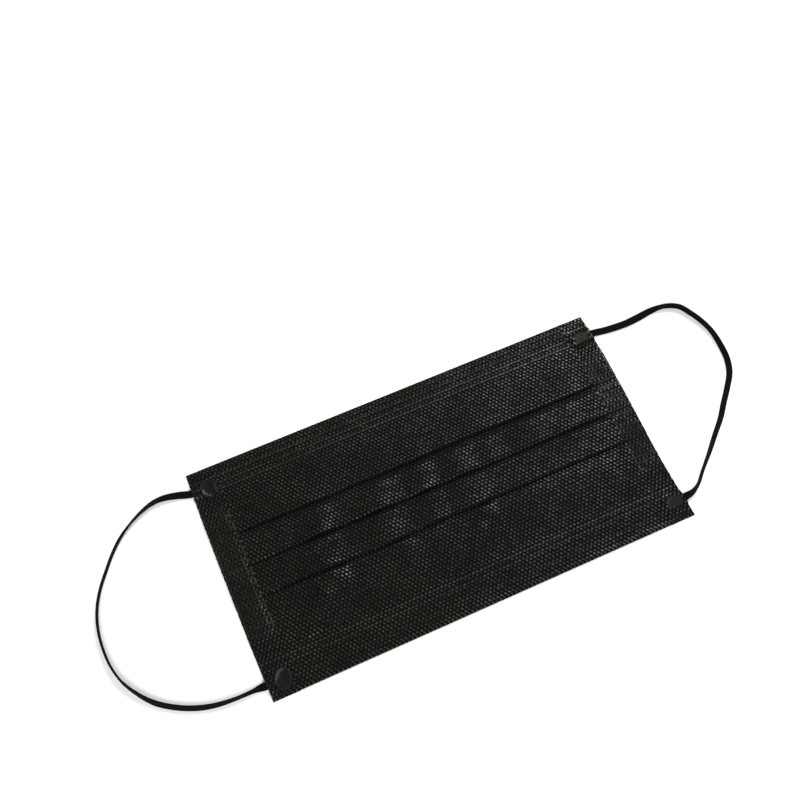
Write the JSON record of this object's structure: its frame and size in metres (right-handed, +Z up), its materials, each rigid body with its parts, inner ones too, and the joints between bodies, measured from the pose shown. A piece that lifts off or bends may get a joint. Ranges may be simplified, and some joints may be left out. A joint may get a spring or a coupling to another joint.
{
  "type": "disposable face mask",
  "caption": "Flat-folded pleated face mask of black nonwoven cloth with a nose wire and flat elastic ear loops, lying outer face up.",
  "frame": {"origin": "middle of the mask on the surface that it lies on, without the ear loops", "axes": "+X along the mask's long side, +Y towards the nose edge, +Z up out of the outer face"},
  "size_m": [0.2746, 0.095, 0.0045],
  "materials": {
    "cloth": "matte black spunbond nonwoven with a lattice of small pressed points",
    "hem_cloth": "matte black spunbond nonwoven, turned over and welded",
    "seam_cloth": "black nonwoven pressed into small ticks by the end weld",
    "weld": "smooth, slightly shiny melted nonwoven",
    "elastic": "black knitted flat elastic with a satin sheen",
    "wire": "dull soft aluminium strip"
  },
  "bodies": {
    "root": {"pleated_panel": "cloth", "top_hem": "hem_cloth", "bottom_hem": "hem_cloth", "nose_wire": "wire", "side_seam_left": "seam_cloth", "side_seam_right": "seam_cloth", "ear_loop_left": "elastic", "ear_loop_right": "elastic", "loop_weld_top_left": "weld", "loop_weld_top_right": "weld", "loop_weld_bottom_left": "weld", "loop_weld_bottom_right": "weld"}
  },
  "joints": []
}
